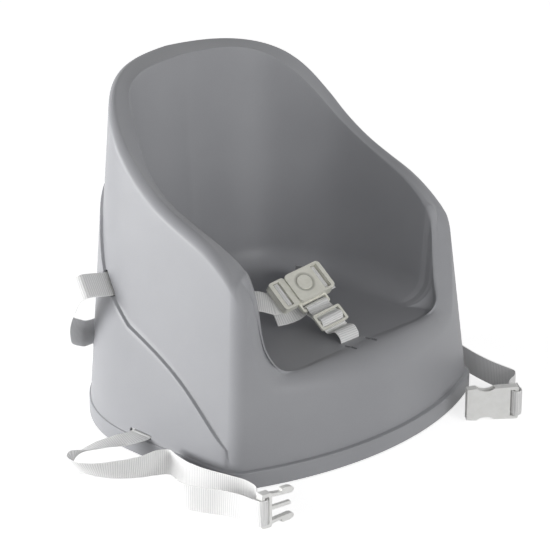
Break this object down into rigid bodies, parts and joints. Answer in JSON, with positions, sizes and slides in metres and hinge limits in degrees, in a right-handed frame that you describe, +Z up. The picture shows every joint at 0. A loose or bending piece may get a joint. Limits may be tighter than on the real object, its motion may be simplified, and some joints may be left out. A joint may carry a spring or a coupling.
{
  "type": "chair booster seat",
  "caption": "Moulded bucket seat with a hollow base, a three-point lap harness with a push-button buckle and webbing ties for strapping it to a chair",
  "frame": {"origin": "on the floor, under the middle of the shell's footprint", "axes": "+Z up; the seat faces -Y; +X is to the right of someone who faces the same way as +Y"},
  "size_m": [0.4609, 0.4109, 0.332],
  "materials": {
    "shell": "fine matt texture",
    "foot": "matt",
    "webbing": "ribbed woven webbing",
    "harness_buckle": "satin",
    "tie_buckle": "satin",
    "spring_wire": "drawn wire"
  },
  "bodies": {
    "seat": {"seat_shell": "shell", "foot_front_right": "foot", "foot_front_left": "foot", "foot_rear_right": "foot", "foot_rear_left": "foot", "crotch_web_stop": "tie_buckle", "waist_web_stop_right": "tie_buckle", "waist_web_stop_left": "tie_buckle", "buckle_back_cover": "harness_buckle", "buckle_front_cover": "harness_buckle", "button_spring": "spring_wire", "waist_belt_left": "webbing", "waist_belt_right": "webbing", "crotch_slide": "harness_buckle", "crotch_strap": "webbing", "base_strap_inner": "webbing", "base_strap_left": "webbing", "base_strap_tail": "webbing", "base_strap_right": "webbing", "base_buckle_male": "tie_buckle", "base_buckle_female": "tie_buckle", "back_strap_inner": "webbing", "back_strap_right": "webbing", "back_strap_left": "webbing", "back_buckle_male": "tie_buckle", "back_buckle_female": "tie_buckle"},
    "button": {"release_button": "harness_buckle"},
    "tongue": {"tongue": "harness_buckle"}
  },
  "joints": [
    {"name": "button_press", "type": "slide", "parent": "seat", "child": "button", "axis": [0.2122, 0.5984, -0.7726], "range_m": [0, 0.002], "stiffness_N_per_m": 600, "springref_m": -0.001, "deforming": ["button_spring"]},
    {"name": "tongue_pull", "type": "slide", "parent": "seat", "child": "tongue", "axis": [-0.9772, 0.1371, -0.1621], "range_m": [0, 0.026], "deforming": ["waist_belt_left"]}
  ]
}
